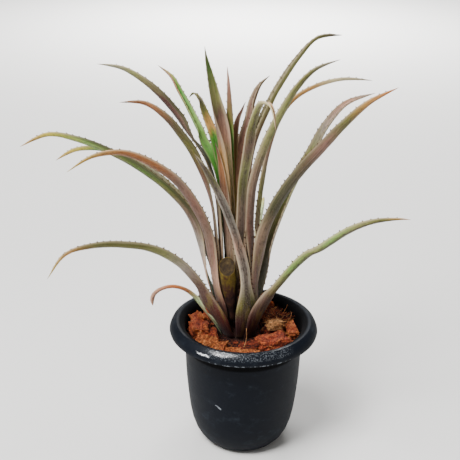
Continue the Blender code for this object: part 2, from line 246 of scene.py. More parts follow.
def pot_plastic():
    """Dusty black plastic with painted sheen, a wet rim with painted highlights and a white streak, a scuff,
    and painted shade inside.
    """
    finish = Finish("black pot plastic", Specular_IOR_Level=0.11, Coat_Roughness=0.14)
    where = finish.place()
    x, y, height = finish.split(where)
    forward = 0.0 - y
    smears = finish.noise(finish.stretch(where, (1, 1, 1.6)), 60, 6, 0.7)
    grain = finish.noise(where, 900, 3)
    fine = finish.noise(where, 420, 3, 0.7)
    front = forward.clip(*WET_FORWARD) * x.near(WET_MIDDLE, *WET_HALF)
    crest = front * height.clip(*WET_TOP)
    # Water drops on the crest; their pale colour is a painted highlight
    beads = finish.noise(where, 1150, 2, 0.6).clip(0.53, 0.6) * crest
    # A thin painted highlight along the roll's lower edge in front
    lip = front * height.near(LIP_HEIGHT, *LIP_HALF) * fine.clip(0.5, 0.6)
    # A white streak on the roll, a painted reflection of a lamp
    streak = (x + (smears - 0.5) * 0.01).near(STREAK_ACROSS, *STREAK_HALF)
    streak = streak * (height + (fine - 0.5) * 0.004).near(STREAK_HEIGHT, *STREAK_THICK)
    streak = streak * forward.clip(*STREAK_FORWARD)
    scuff = (x + (fine - 0.5) * 0.008).near(SCUFF_ACROSS, *SCUFF_HALF) * forward.clip(*SCUFF_FORWARD)
    slope = (x - SCUFF_ACROSS) * SCUFF_SLOPE
    scuff = scuff * (height + slope).near(SCUFF_HEIGHT, *SCUFF_THICK) * grain.clip(0.42, 0.5)
    # Dust in smears, whose film also stands in for the body's sheen
    film = smears.clip(0.52, 0.82) * (0.10 + 0.12 * grain)
    # Painted shade on the inside wall above the fill, which is also rougher there
    inside = (1.0 - (x * x + y * y).root().clip(*INSIDE_RADIUS)) * height.clip(*INSIDE_HEIGHT)
    # Pale painted highlights on the drops and the lip share their grey with the real scuff
    colour = finish.coats(paint(POT_BLACK), [
        (film * (1.0 - inside), POT_DUST_AND_SHEEN), (inside * 0.95, POT_INSIDE_SHADE),
        (beads * 0.16 + lip * 0.28 + scuff * 0.45, POT_WORN_AND_GLINT), (streak * 0.95, STREAK_HIGHLIGHT)])
    rough = 0.47 + 0.12 * grain + 0.18 * smears - 0.3 * crest + 0.3 * inside
    bump = finish.raised(smears * 0.4 + grain * 0.1 + fine * crest * 0.6 + beads * 0.5, 0.55, 0.0007)
    wet = beads * 0.75 + crest * 0.25
    return finish.shade(Base_Color=colour, Roughness=rough, Normal=bump, Coat_Weight=wet)


pot_shell = turn_profile(POT_ROLL + POT_SIDE + [(0, 0)], POT_STEPS)
pot = piece("pot_body", pot_shell, pot_plastic(), "pot")
thick = pot.modifiers.new("Wall", "SOLIDIFY")
thick.thickness = POT_WALL
thick.offset = 1
thick.use_even_offset = True
openings = bmesh.new()
for step in range(HOLES):
    spot = Matrix.Rotation(math.tau * step / HOLES, 4, "Z") @ Matrix.Translation((HOLE_RING, 0, 0))
    bmesh.ops.create_cone(openings, cap_ends=True, segments=HOLE_STEPS, radius1=HOLE_RADIUS,
                          radius2=HOLE_RADIUS, depth=HOLE_DEPTH, matrix=spot)
for step in range(NOTCHES):
    turn = Matrix.Rotation(math.tau * step / NOTCHES + NOTCH_TURN, 4, "Z")
    spot = turn @ Matrix.Translation(NOTCH_SPOT)
    bmesh.ops.create_cube(openings, matrix=spot @ Matrix.Diagonal((*NOTCH_SIZE, 1)))
cutter_mesh = bpy.data.meshes.new("openings")
openings.to_mesh(cutter_mesh)
openings.free()
cutter = bpy.data.objects.new("openings", cutter_mesh)
bpy.context.scene.collection.objects.link(cutter)
bite = pot.modifiers.new("Openings", "BOOLEAN")
bite.object = cutter
bite.operation = "DIFFERENCE"
pot_mesh = bpy.data.meshes.new_from_object(pot.evaluated_get(bpy.context.evaluated_depsgraph_get()))
pot_mesh.set_sharp_from_angle(angle=POT_CREASE)
pot.modifiers.clear()
pot.data = pot_mesh
bpy.data.objects.remove(cutter, do_unlink=True)


# Coir husk
# Coconut husk chips and loose fibre, packed to about 15 mm below the rim and piled against the wall.
# The chips are cut by machine, so they are blocky, and their broken faces are granular and fibrous.

BED_STEPS = 96
BED_RINGS = 30
BED_TOP = 93.5
BED_LOW = 90.0
BED_EDGE = 46.9
BED_REACH = 46.0
BED_SIDE = [(46.1, 69.0), (44.8, 49.0), (42.6, 29.0), (38.3, 12.5), (35.3, 7.4), (31.0, 3.0), (0.0, 3.0)]

# The fill's uneven top: its hollows, and its rise towards the wall from a share of the way out
BED_HOLLOWS = 2.2
BED_SINK = 0.6
RISE_START = 0.72
RISE_BACK = 5
RISE_FRONT = 2

# The stem's place in metres, how far off it the loose pieces stay, and the dip in the fill beneath it
STEM_SPOT = Vector((-0.004, 0.009))
STEM_CLEAR = 0.0180
STEM_DIP = 0.004
STEM_DIP_REACH = 0.014

HUSK_TONES = [(0.08, "120604"), (0.30, "34120a"), (0.45, "b04a2c"), (0.62, "d0773c"), (0.86, "ffb878")]
HUSK_PIT = "220a05"

# The larger chips that show: place, half sizes, turn in degrees and tone from 0, dark, to 1, pale
BIG_CHIPS = [
    ((-37, 3, 97.5), (7.5, 10, 6), 12, 0.50), ((-38.5, 16, 98.5), (5, 6.5, 6.5), 40, 0.55),
    ((-34, -12, 95.5), (6, 5, 4), 70, 0.62), ((-27, -18, 95), (6.5, 5, 4), 30, 0.68),
    ((-26, -5, 95.5), (4.5, 7, 3.5), 15, 0.40), ((-19, -24, 95), (6, 5.5, 3.6), 65, 0.66),
    ((-9, -30, 94.8), (6, 4.5, 3.4), 10, 0.62), ((4, -32, 94.5), (9, 4.2, 3.4), -6, 0.64),
    ((5, -20, 94.2), (8, 4, 3.4), 20, 0.33), ((17, -35, 94.4), (6.5, 4, 3.2), 25, 0.52),
    ((24, -16, 96.3), (12, 8.5, 5.6), 18, 0.45), ((26, 4, 102.6), (6.5, 3.4, 3.4), 18, 1.1),
    ((22, 6, 96), (5, 4, 3.2), 60, 0.30), ((41, 4, 97), (4, 8.5, 4.2), 12, 0.56),
    ((20, 42, 101), (6.5, 3.8, 5.4), -30, 0.52), ((8, 42, 97), (6, 4, 4), 20, 0.45),
    ((-12, 40, 97), (6, 4.5, 4), 50, 0.55), ((-28, 30, 97), (5.5, 5, 4.5), 30, 0.50)]
CHIP_TILT = 0.25
CHIP_ROUGH = 0.30
CHIP_CRUMB = 0.09
SMALL_CHIPS = 150
SMALL_CHIP_REACH = 44.5

# How finely a chip is cut up, for each least half size
CHIP_CUTS = ((5.5, 13), (3, 5), (0, 3))

# Loose roots and fibres that stand up out of the husk: start, heading, length, width, bend and tone
TWIGS = [
    ((-0.4, -23.5, 95), (0.1, 0.45, 1.0), 17, 0.42, 0.10, 1.1),
    ((-19.1, 32, 98), (0.45, 0.5, 1.0), 9, 0.35, 0.12, 1.15),
    ((-27, -18.5, 97), (0.6, 0.8, 0.4), 10, 0.4, 0.1, 1.0),
    ((14, -24, 96.5), (0.9, -0.25, 0.12), 11, 0.3, 0.2, 1.0),
    ((33, 26, 100), (0.3, 0.8, 0.5), 12, 0.3, 0.3, 0.7),
    ((27, 22, 101), (-0.8, 0.5, 0.3), 12, 0.3, 0.3, 0.8),
    ((36, 8, 101), (0.2, 0.9, 0.3), 14, 0.35, 0.25, 0.85)]
FIBRES = 420
FIBRE_REACH = 45
FIBRE_ARC = 2.6

# A ball of matted fibre, whose limit is in metres, and the frayed top of the pale chip in front of it
BALL_FIBRES = 900
BALL_SPOT = (30, 25)
BALL_RADIUS = (1, 16)
BALL_HEIGHT = (96, 105)
BALL_LIMIT = 0.0465
BALL_BEND = -0.22
BALL_TONES = (0.1, 0.2, 0.3, 0.4, 0.55, 0.85)
FRAY_FIBRES = 60
FRAY_SPOT = (26, 4)
FRAY_HALF = (5.5, 3)
FRAY_HEIGHT = 104.6
FRAY_BEND = 0.1


def husk_finish():
    finish = Finish("coir husk", Specular_IOR_Level=0.25)
    where = finish.place()
    tone = finish.split(finish.read("husk"))[0]
    grain = finish.noise(where, 520, 8, 0.75)
    lumps = finish.noise(where, 190, 5, 0.6)
    crumbs = finish.noise(where, 900, 5, 0.7).clip(0.38, 0.54) * grain.clip(0.36, 0.5)
    husk = finish.ramp(tone * 0.62 + grain * 0.42 + lumps * 0.34 - 0.2, HUSK_TONES)
    colour = finish.mix((1.0 - crumbs) * 0.72, husk, paint(HUSK_PIT))
    bump = finish.raised(grain + lumps * 0.6 + crumbs * 0.7, 1.0, 0.0016)
    return finish.shade(Base_Color=colour, Roughness=0.78 + 0.2 * grain, Normal=bump)


def take_in(whole, part):
    """Add a small bmesh to a large one, and free it."""
    carrier = bpy.data.meshes.new("carrier")
    part.to_mesh(carrier)
    part.free()
    whole.from_mesh(carrier)
    bpy.data.meshes.remove(carrier)


def long_edges(cone):
    """The edges that run from end to end of a cone of depth 1."""
    return [edge for edge in cone.edges if abs(edge.verts[0].co.z - edge.verts[1].co.z) > 0.5]


def husk_chip(bed, spot, size, turn, tone, draw):
    """One blocky chip, broken along rough faces, sunk into what is already there."""
    chip = bmesh.new()
    layer = chip.verts.layers.float_vector.new("husk")
    bmesh.ops.create_cube(chip, size=2)
    cuts = next(cuts for least, cuts in CHIP_CUTS if max(size) > least)
    bmesh.ops.subdivide_edges(chip, edges=chip.edges[:], cuts=cuts, use_grid_fill=True)
    place = Matrix.Translation(Vector(spot) * MM) @ turn
    seed = Vector((draw.uniform(0, 90), draw.uniform(0, 90), draw.uniform(0, 90)))
    for vert in chip.verts:
        rough = noise.fractal(vert.co * 1.3 + seed, 0.8, 2.2, 4)
        crumb = noise.fractal(vert.co * 4.5 + seed, 0.9, 2.1, 3)
        rounded = 0.62 + 0.38 / max(vert.co.length, 1) * 1.2
        shape = vert.co * (1 + CHIP_ROUGH * rough + CHIP_CRUMB * crumb) * rounded
        vert.co = place @ Vector([part * side * MM for part, side in zip(shape, size)])
        vert[layer] = (tone + 0.12 * rough, 0, 0)
    take_in(bed, chip)


def husk_fibre(bed, start, heading, length, width, bend, tone):
    """One loose fibre: a fine three-sided taper that bends over its length."""
    fibre = bmesh.new()
    layer = fibre.verts.layers.float_vector.new("husk")
    bmesh.ops.create_cone(fibre, cap_ends=True, segments=3, radius1=1, radius2=0.4, depth=1)
    bmesh.ops.subdivide_edges(fibre, edges=long_edges(fibre), cuts=4)
    aside = heading.cross(Vector((0.3, 0.2, 1))).normalized()
    above = aside.cross(heading).normalized()
    for vert in fibre.verts:
        share = vert.co.z + 0.5
        arc = (above * bend + aside * bend * 0.6) * math.sin(share * FIBRE_ARC) * length
        spine = start + heading * length * share + arc
        vert.co = spine + (aside * vert.co.x + above * vert.co.y) * width
        vert[layer] = (tone, 0, 0)
    take_in(bed, fibre)


def husk_height(x, y):
    """The height of the fill's top: hollows between chips, and a rise towards the wall."""
    spot = Vector((x, y, 0))
    rise = max(0.0, spot.length / BED_REACH - RISE_START) * (RISE_BACK if y > 0 else RISE_FRONT)
    return BED_TOP + rise + BED_HOLLOWS * noise.fractal(spot * 0.11, 0.9, 2.0, 4) - BED_SINK


def from_stem(spot):
    """How far a spot in millimetres is from the stem, in metres."""
    return (spot * MM - STEM_SPOT).length


def strewn(draw, reach, least=0.0):
    """A spot drawn evenly over the fill, out to reach, without the middle's least share of the area."""
    angle, radius = draw.uniform(0, math.tau), reach * math.sqrt(draw.uniform(least, 1))
    return Vector((radius * math.cos(angle), radius * math.sin(angle)))


def strew_chips(bed, draw):
    for _ in range(SMALL_CHIPS):
        spot = strewn(draw, SMALL_CHIP_REACH)
        size = [draw.uniform(1.4, 4.2), draw.uniform(1.1, 2.6), draw.uniform(0.8, 1.8)]
        turn = Matrix.Rotation(draw.uniform(0, math.tau), 4, "Z")
        tilt = Matrix.Rotation(draw.uniform(-0.7, 0.7), 4, "X")
        tone = draw.uniform(0.15, 0.75)
        if from_stem(spot) > STEM_CLEAR + size[0] * MM:
            husk_chip(bed, (*spot, husk_height(*spot) + 0.6), size, turn @ tilt, tone, draw)


def strew_fibres(bed, draw):
    for _ in range(FIBRES):
        spot = strewn(draw, FIBRE_REACH, 0.05)
        lie = draw.uniform(0, math.tau)
        heading = Vector((math.cos(lie), math.sin(lie), draw.uniform(-0.1, 0.22))).normalized()
        length = draw.uniform(3, 11)
        end = spot + heading.xy * length
        if end.length <= BED_REACH and min(from_stem(spot), from_stem(end)) >= STEM_CLEAR:
            start = Vector((*spot, husk_height(*spot) + draw.uniform(0.8, 3.5))) * MM
            width, bend, tone = draw.uniform(0.08, 0.2) * MM, draw.uniform(0, 0.25), draw.uniform(0.35, 1.05)
            husk_fibre(bed, start, heading, length * MM, width, bend, tone)


def wind_ball(bed, draw):
    """Fibres that curl round one spot, at every height of the ball."""
    for _ in range(BALL_FIBRES):
        lie = draw.uniform(0, math.tau)
        out = draw.uniform(*BALL_RADIUS)
        x, y = BALL_SPOT[0] + out * math.cos(lie), BALL_SPOT[1] + out * math.sin(lie)
        start = Vector((x, y, draw.uniform(*BALL_HEIGHT))) * MM
        heading = Vector((-math.sin(lie), math.cos(lie), draw.uniform(-0.3, 0.4))).normalized()
        length = draw.uniform(6, 13) * MM
        if max((start.xy + heading.xy * length).length, start.xy.length) < BALL_LIMIT:
            width = draw.uniform(0.12, 0.34) * MM
            husk_fibre(bed, start, heading, length, width, BALL_BEND, draw.choice(BALL_TONES))


def fray_chip(bed, draw):
    """Short pale fibres that point every way from the top of one chip."""
    for _ in range(FRAY_FIBRES):
        lie = draw.uniform(0, math.tau)
        heading = Vector((math.cos(lie), math.sin(lie) * 0.6, draw.uniform(-0.1, 0.5))).normalized()
        spot = [middle + draw.uniform(-half, half) for middle, half in zip(FRAY_SPOT, FRAY_HALF)]
        start = Vector((*spot, FRAY_HEIGHT)) * MM
        length, width = draw.uniform(3, 7) * MM, draw.uniform(0.15, 0.4) * MM
        husk_fibre(bed, start, heading, length, width, FRAY_BEND, draw.uniform(0.9, 1.3))


def husk_bed():
    """The turned fill with its uneven top, and on it the chips, the loose fibres and the roots."""
    top = [(BED_EDGE * ring / BED_RINGS, BED_TOP) for ring in range(BED_RINGS + 1)]
    bed = turn_profile(top + BED_SIDE, BED_STEPS)
    layer = bed.verts.layers.float_vector.new("husk")
    for vert in bed.verts:
        if vert.co.z > BED_LOW * MM:
            dip = max(0.0, 1 - (vert.co.xy - STEM_SPOT).length / STEM_DIP_REACH)
            vert.co.z = husk_height(vert.co.x / MM, vert.co.y / MM) * MM - STEM_DIP * dip
            vert[layer] = (0.16 + 0.12 * noise.noise(vert.co * 120), 0, 0)
    draw = random.Random(5)
    for spot, size, degrees, tone in BIG_CHIPS:
        tilt, lean = (Matrix.Rotation(draw.uniform(-CHIP_TILT, CHIP_TILT), 4, axis) for axis in "XY")
        turn = Matrix.Rotation(math.radians(degrees), 4, "Z")
        husk_chip(bed, spot, size, turn @ (tilt @ lean), tone, draw)
    strew_chips(bed, draw)
    strew_fibres(bed, draw)
    for start, heading, length, width, bend, tone in TWIGS:
        husk_fibre(bed, Vector(start) * MM, Vector(heading).normalized(), length * MM, width * MM, bend, tone)
    draw = random.Random(8)
    wind_ball(bed, draw)
    fray_chip(bed, draw)
    bmesh.ops.recalc_face_normals(bed, faces=bed.faces)
    return bed


piece("coir_husk", husk_bed(), husk_finish(), "coir_bed")


# Stem
# The short, dark trunk at the bottom of the rosette; all but its skin is hidden by the sheaths.
# The CAD solid has its true shape, so it stays and gets a dull, fibrous skin.

STEM_DARK = "1c0e0c"
STEM_BROWN = "50322a"


def stem_skin():
    finish = Finish("stem skin", Specular_IOR_Level=0.3)
    fibres = finish.noise(finish.stretch(finish.place(), (1, 1, 0.15)), 900, 4)
    colour = finish.mix(fibres, paint(STEM_DARK), paint(STEM_BROWN))
    bump = finish.raised(fibres, 0.6, 0.0006)
    return finish.shade(Base_Color=colour, Roughness=0.7 + 0.2 * fibres, Normal=bump)


bpy.data.objects["stem"].material_slots[0].material = stem_skin()


# Leaves
# Each leaf is one piece: a sheath that clasps the stem and swells to a bulb, then a stiff channelled blade
# with hooked teeth on its margins. Silver scurf covers a green, purple or orange skin.

# The plant's place in metres and its lean. The lengths that follow are in millimetres: the rings of leaf
# feet about the axis, counted from the outside, and the bulb that a sheath swells to above its foot
PLANT = Vector((*STEM_SPOT, 0.094))
LEAN = math.radians(4.5)
RING_RADIUS = 13.5
RING_PITCH = 0.92
RING_LOW = -4.0
RING_RISE = 2.8
BULB = 7.5
BULB_LOSS = 0.53
BULB_HEIGHT = 28.0
BULB_LINE = ((0.62, 0.45), (1.0, 1.0))
BULB_GAP = 8.0

# How far up a leaf clasps the stem, how wide it is on the way to its tip, and the step its run is read over
FOOT_SHARE = 0.8
FOOT_LENGTH = 24.0
CLASP = 46.0
CLASP_RING = 4
CLASP_GROWTH = 60.0
CLASP_MOST = 150.0
CLASP_HEART = 190.0
CLASP_EASE = 70.0
CLASP_END = 12.0
HEART_RING = 10
WAIST = 0.9
WAIST_LENGTH = 60.0
TAPER_START = 70.0
TAPER_POWER = 5
TIP_WIDTH = 0.12
WIDTH_WANDER = 0.05
RUN_STEP = 2.0
SWEEP_START = 0.3
SWEEP_POWER = 1.5

# Past its clasp, a leaf goes from an arc about the axis to a channel of its own, which turns about its run
FREE_SPAN = (-10.0, 50.0)
CLEAR_REACH = (17.0, 34.0)
CHANNEL = math.radians(85)
SETTLE = 0.15
ROLL = math.radians(35)
ROLL_ALONE = {"leaf_05": math.radians(-6)}
GROOVE_DEPTH = 0.28
GROOVE_SHARE = 0.2
RIPPLE = 0.18
TIP_FADE = 0.12

# How finely a leaf is divided, its half thickness, and how far its inner face's pattern is off the outer's
LEAF_ROW = 2.6
LEAF_COLUMNS = 12
HEART_COLUMNS = 26
LEAF_MID = 0.42
LEAF_MARGIN = 0.2
TIP_THIN = 0.35
TIP_SHARE = 0.06
INNER_SHIFT = 40

# The teeth: their spacing and height, each with its spread, where they start and stop, and their form
TOOTH_PITCH = 5.6
TOOTH_PITCHES = (0.75, 1.3)
TOOTH_HEIGHT = 2.6
TOOTH_HEIGHTS = (0.75, 1.15)
TOOTH_LOSS = 0.62
TOOTH_BACKWARD = 0.3
TOOTH_FIRST = -6.0
TOOTH_LAST = -9.0
TOOTH_ROOT = 0.16
TOOTH_HOOK = 0.55
TOOTH_THICK = 0.26

# Leaf colours, and the colours of what lies over them. The foot colours are the wine red of the leaf bases,
# darkened as painted shade deep in the rosette too
SKINS = {
    "foot": "2c0a10", "wine": "2b1116", "plum": "4c2623", "taupe": "6f5546", "stone": "7b644e",
    "silver": "958a7c", "grey": "79746a", "umber": "463614", "moss": "2f310c", "olive": "58591a",
    "sage": "7f8148", "green": "3c6210", "grass": "3a7d1e", "lime": "6f9440", "mint": "b8d096",
    "tan": "a8793a", "orange": "b9642a", "copper": "8c5426", "russet": "6a2415", "brown": "5e3719",
    "pink": "7c5547", "blush": "b58a72", "yellow": "b5a02c", "cream": "d0c294"}
# The first colour is shared by real dark marks and painted shade in the channel
DARK_MARK_AND_SHADE = "22140e"
VEIN_RED = "2a0c12"
FLUSH_OCHRE = "85742c"
SCURF_SILVER = "bba898"
RUST = "4a2413"
MARGIN_CREAM = "c8b694"
EDGE_SHADE_GREEN = "202a0a"
FOOT_RED_AND_SHADE = "30090f"
RIND_BROWN = "5a3a22"
TOOTH_BROWN = "553620"
TOOTH_TIP = "200f08"

# How much darker the middle of some leaves is than usual, as painted shade in the channel, or, where it is
# less than 0, paler, as painted light that makes up for the channel's shade
GROOVES = {"leaf_01": 0.4, "leaf_02": -0.5, "leaf_04": 0.45, "leaf_14": 0.2, "leaf_16": -0.6, "leaf_17": -0.5,
           "leaf_19": -0.5, "leaf_21": -0.5}

# How strong the painted shade is along each margin of some leaves: a dark green band for the shaded channel
# seen over the edge
EDGE_SHADES = {"leaf_03": 0.25, "leaf_06": 0.85, "leaf_07": 0.45, "leaf_10": 0.5, "leaf_11": 0.2,
              "leaf_12": 0.6, "leaf_13": 0.3, "leaf_15": 0.8}

# The small and dried leaves, which have no teeth
BARE_LEAVES = ("leaf_dead_curl", "leaf_19", "leaf_22")

# Each leaf: its azimuth in degrees, its ring counted from the outside, its sheath's and blade's widths, how
# far its tip is swept sideways, its curve as (reach, height), the colours of its outer and inner faces from
# foot to tip, and how much silver scurf it has
# The inner faces' colours are partly painted shade in the channel, and on leaf_16 and leaf_17 paler, as
# painted light that makes up for the channel's shade
LEAVES = {
    "leaf_dead_curl": (185, 0, 11, 8, 0, [
        (18, 7), (24, 18), (31, 30), (40, 41), (50, 46), (60, 45), (67, 40), (69, 31)],
        ["wine", "mint", "cream", "mint", "copper", "orange", "blush", "blush"],
        ["mint", "mint", "cream", "cream", "orange", "orange", "blush", "blush"], 0.1),
    "leaf_01": (333, 0, 28, 12, 0, [
        (17, 6), (27, 31), (39.5, 48), (52, 64), (66, 79), (77, 86), (100, 104), (119, 114), (137, 119),
        (146, 120)],
        ["foot", "plum", "taupe", "sage", "lime", "sage", "lime", "sage", "olive", "tan"],
        ["wine", "taupe", "lime", "green", "lime", "green", "sage", "tan"], 0.4),
    "leaf_02": (43, 0, 13, 14, 54, [
        (18.5, 8), (27.5, 30), (36, 50), (47, 66), (61, 76), (75, 79), (90, 80)],
        ["foot", "taupe", "lime", "lime", "mint", "mint", "olive"],
        ["plum", "lime", "lime", "mint", "cream", "mint", "yellow"], 0.3),
    "leaf_03": (216, 1, 24, 13, 0, [
        (17, 9), (24, 27), (36, 55), (52, 79), (73, 97), (96, 108), (119, 115), (142, 116), (158, 103)],
        ["foot", "russet", "plum", "taupe", "silver", "sage", "olive", "olive", "olive", "tan", "yellow"],
        ["plum", "olive", "olive", "green", "olive", "yellow", "tan"], 0.5),
    "leaf_04": (298, 1, 21, 9.5, -57, [
        (19.8, 45), (19.6, 60), (22, 80), (27, 102), (34, 124), (43, 145), (55, 166), (69, 186)],
        ["foot", "plum", "olive", "silver", "silver", "blush", "silver", "grey", "silver", "olive",
         "umber", "cream"],
        ["wine", "umber", "moss", "moss", "brown", "cream"], 0.8),
    "leaf_05": (24, 1, 17, 14, 0, [
        (28, 53), (37, 78), (48, 101), (60, 122), (75, 141), (89, 161), (108, 177), (135, 182)],
        ["foot", "plum", "stone", "silver", "silver", "sage", "lime", "sage", "silver", "blush", "grey"],
        ["olive", "olive", "moss", "moss", "olive", "green", "sage", "silver", "blush", "grey"], 0.5),
    "leaf_06": (176, 2, 16, 14, 0, [
        (22, 49), (26, 80), (34, 107), (49, 128), (69, 146), (90, 160), (113, 171), (137, 177), (161, 169)],
        ["foot", "plum", "blush", "silver", "taupe", "olive", "green", "olive", "lime", "yellow", "tan"],
        ["wine", "green", "grass", "green", "moss", "yellow", "tan"], 0.5),
    "leaf_07": (335, 2, 18, 15, 0, [
        (18.8, 45), (23, 71), (32, 98), (46, 124), (63, 147), (81, 167), (97, 185), (115, 202), (135, 214)],
        ["foot", "plum", "pink", "taupe", "stone", "moss", "moss", "umber", "pink", "olive", "tan",
         "orange"],
        ["wine", "moss", "moss", "umber", "olive", "yellow"], 0.4),
    "leaf_08": (205, 3, 20, 13, 0, [
        (18, 47), (18.3, 69), (22, 96), (31, 121), (44, 143), (62, 160), (82, 172), (104, 174), (124, 167)],
        ["foot", "plum", "blush", "pink", "taupe", "pink", "taupe", "copper", "copper", "tan", "yellow"],
        ["wine", "brown", "olive", "tan", "tan", "yellow"], 0.45),
    "leaf_09": (19, 3, 12, 10, 0, [
        (19.3, 58), (22.5, 85), (26.3, 110), (31, 133), (37, 155), (46, 175), (59, 190), (79, 198),
        (102, 200), (126, 196)],
        ["foot", "plum", "taupe", "stone", "sage", "taupe", "tan", "tan", "cream", "grey"],
        ["wine", "brown", "olive", "tan", "tan", "blush", "grey"], 0.4),
    "leaf_10": (152, 4, 16, 13, 0, [
        (18, 52), (27, 79), (35, 99), (46, 114), (61, 127), (79, 137), (99, 144), (121, 148), (147, 145),
        (171, 134)],
        ["foot", "plum", "silver", "taupe", "olive", "moss", "green", "grass", "yellow", "tan"],
        ["wine", "moss", "moss", "green", "moss", "green", "yellow"], 0.4),
    "leaf_11": (355, 4, 12, 13, 0, [
        (15.5, 56), (16, 83), (17.5, 106), (20.8, 128), (27.3, 149), (36, 169), (46, 187), (57, 204),
        (71, 218), (89, 225)],
        ["foot", "plum", "taupe", "pink", "taupe", "stone", "sage", "sage", "olive", "grey"],
        ["wine", "wine", "umber", "moss", "olive", "grey"], 0.5),
    "leaf_12": (186, 5, 17, 14, 0, [
        (13.6, 60), (13.4, 80), (13.4, 100), (14.5, 118), (18.3, 138), (25, 157), (33.5, 173), (44, 189),
        (58, 201), (76, 204)],
        ["foot", "plum", "pink", "taupe", "taupe", "pink", "brown", "olive", "umber", "copper", "brown"],
        ["wine", "olive", "moss", "moss", "plum", "brown"], 0.35),
    "leaf_13": (35, 5, 11, 16, 0, [
        (13.5, 80), (17, 120), (27, 155), (47, 187), (61, 203), (76, 217), (95, 229), (121, 228)],
        ["foot", "plum", "taupe", "stone", "blush", "stone", "sage", "sage", "olive", "wine"],
        ["wine", "umber", "moss", "olive", "moss", "wine"], 0.45),
    "leaf_14": (311, 7, 10, 11, 0, [
        (7.1, 35), (7.5, 60), (9.2, 80), (12.6, 96), (18, 132), (23.5, 154), (30.8, 176), (37.3, 191),
        (41.8, 199), (46, 203), (52.6, 203), (56.1, 198), (58.3, 185)],
        ["foot", "plum", "taupe", "stone", "umber", "taupe", "stone", "olive", "sage", "taupe", "olive",
         "sage", "cream", "blush"],
        ["wine", "umber", "moss", "umber", "olive", "olive", "sage", "sage", "tan", "blush"], 0.6),
    "leaf_15": (180, 6, 16, 15, 0, [
        (11, 60), (10, 100), (10.2, 118), (11.8, 134), (15.7, 152), (24, 170), (34, 187), (45, 203),
        (57, 216), (72, 227), (90, 232)],
        ["foot", "plum", "pink", "taupe", "stone", "pink", "taupe", "plum", "sage", "grey"],
        [*4 * ["moss"], "olive", "grey"], 0.5),
    "leaf_16": (45, 6, 12, 18, 0, [
        (11.6, 60), (11.6, 90), (14.2, 125), (17, 146), (20, 157), (25, 170), (33, 187), (42, 200),
        (54, 206)],
        ["foot", "plum", "blush", "blush", "blush", "pink", "taupe", "umber"],
        ["wine", "blush", "blush", "cream", "blush", "pink", "taupe", "umber"], 0.4),
    "leaf_17": (140, 10, 25, 14, 0, [
        (4.4, 34), (4.5, 70), (4.5, 110), (4.6, 140), (4.8, 160), (5.2, 171), (6.2, 183), (7.6, 195),
        (8.8, 206), (10.2, 217), (11.6, 227), (12.5, 238)],
        ["foot", "plum", "taupe", *4 * ["tan"], "taupe", "umber", "olive", "green"],
        ["wine", "taupe", *6 * ["cream"], "blush", "taupe", "sage", "green", "olive"], 0.3),
    "leaf_18": (128, 8, 8, 12, 0, [
        (7.2, 75), (7.2, 110), (8.6, 130), (13, 144), (20.5, 154), (29, 163), (38, 174), (47, 185),
        (57, 196), (67, 207), (85, 214)],
        ["foot", "olive", "green", "grass", "grass", "lime", "grass", "copper", "grey"],
        ["moss", "moss", "grass", "grass", "grass", "lime", "grass", "tan"], 0.1),
    "leaf_19": (60, 8, 6, 8, 0, [
        (7, 80), (7, 110), (9, 135), (13, 153), (18, 172), (24, 181), (36, 188)],
        ["foot", "tan", "tan", "tan", "pink", "brown", "wine"],
        ["tan", "tan", "tan", "copper", "brown", "wine"], 0.2),
    "leaf_20": (122, 9, 6, 10, 0, [
        (5.9, 80), (5.9, 115), (8.3, 140), (12.5, 155), (17, 168), (22, 177), (29, 187), (41, 196),
        (52, 191)],
        ["foot", "olive", "olive", "olive", "green", "green", *6 * ["grass"], "lime", "grass", "grass",
         "tan", "olive", "moss", "olive", "grey"],
        ["green", "green", *6 * ["grass"], "lime", *6 * ["grass"], "tan", "olive", "moss", "olive",
         "grey"], 0.05),
    "leaf_21": (55, 9, 6, 9, 0, [
        (6.0, 80), (6.0, 115), (6.5, 140), (7.5, 160), (9, 178), (10, 195), (10.5, 211), (10, 222)],
        ["plum", "tan", "cream", "cream", "yellow", "yellow", "lime", "grass", "olive", "pink", "blush"],
        ["brown", "tan", "cream", "cream", "yellow", "yellow", "lime", "grass", "olive", "pink",
         "blush"], 0.05),
    "leaf_22": (228, 9, 12, 5, 0, [
        (5.6, 32), (5.7, 80), (5.8, 115), (6.1, 130), (6.6, 148), (8, 159), (10.5, 168)],
        ["foot", "plum", "taupe", "stone", "taupe", "taupe", "brown", "copper", "wine"],
        ["brown", "copper", "wine"], 0.35)}


def plant_frame():
    return Matrix.Translation(PLANT) @ Matrix.Rotation(-LEAN, 4, "Y")


def smoothstep(low, high, value):
    share = min(max((value - low) / (high - low), 0), 1)
    return share * share * (3 - 2 * share)


def curve_through(points, pieces=12):
    """A smooth curve through the points, as dense points and the lengths along them."""
    knots = np.array([points[0], *points, points[-1]], float)
    dense = []
    for before, start, end, after in zip(knots, knots[1:], knots[2:], knots[3:]):
        bend = 2 * before - 5 * start + 4 * end - after
        twist = 3 * start - before - 3 * end + after
        for share in np.arange(pieces) / pieces:
            dense.append(0.5 * (2 * start + (end - before) * share + bend * share ** 2 + twist * share ** 3))
    dense = np.array(dense + [knots[-1]])
    lengths = np.concatenate([[0], np.cumsum(np.linalg.norm(np.diff(dense, axis=0), axis=1))])
    return dense, lengths


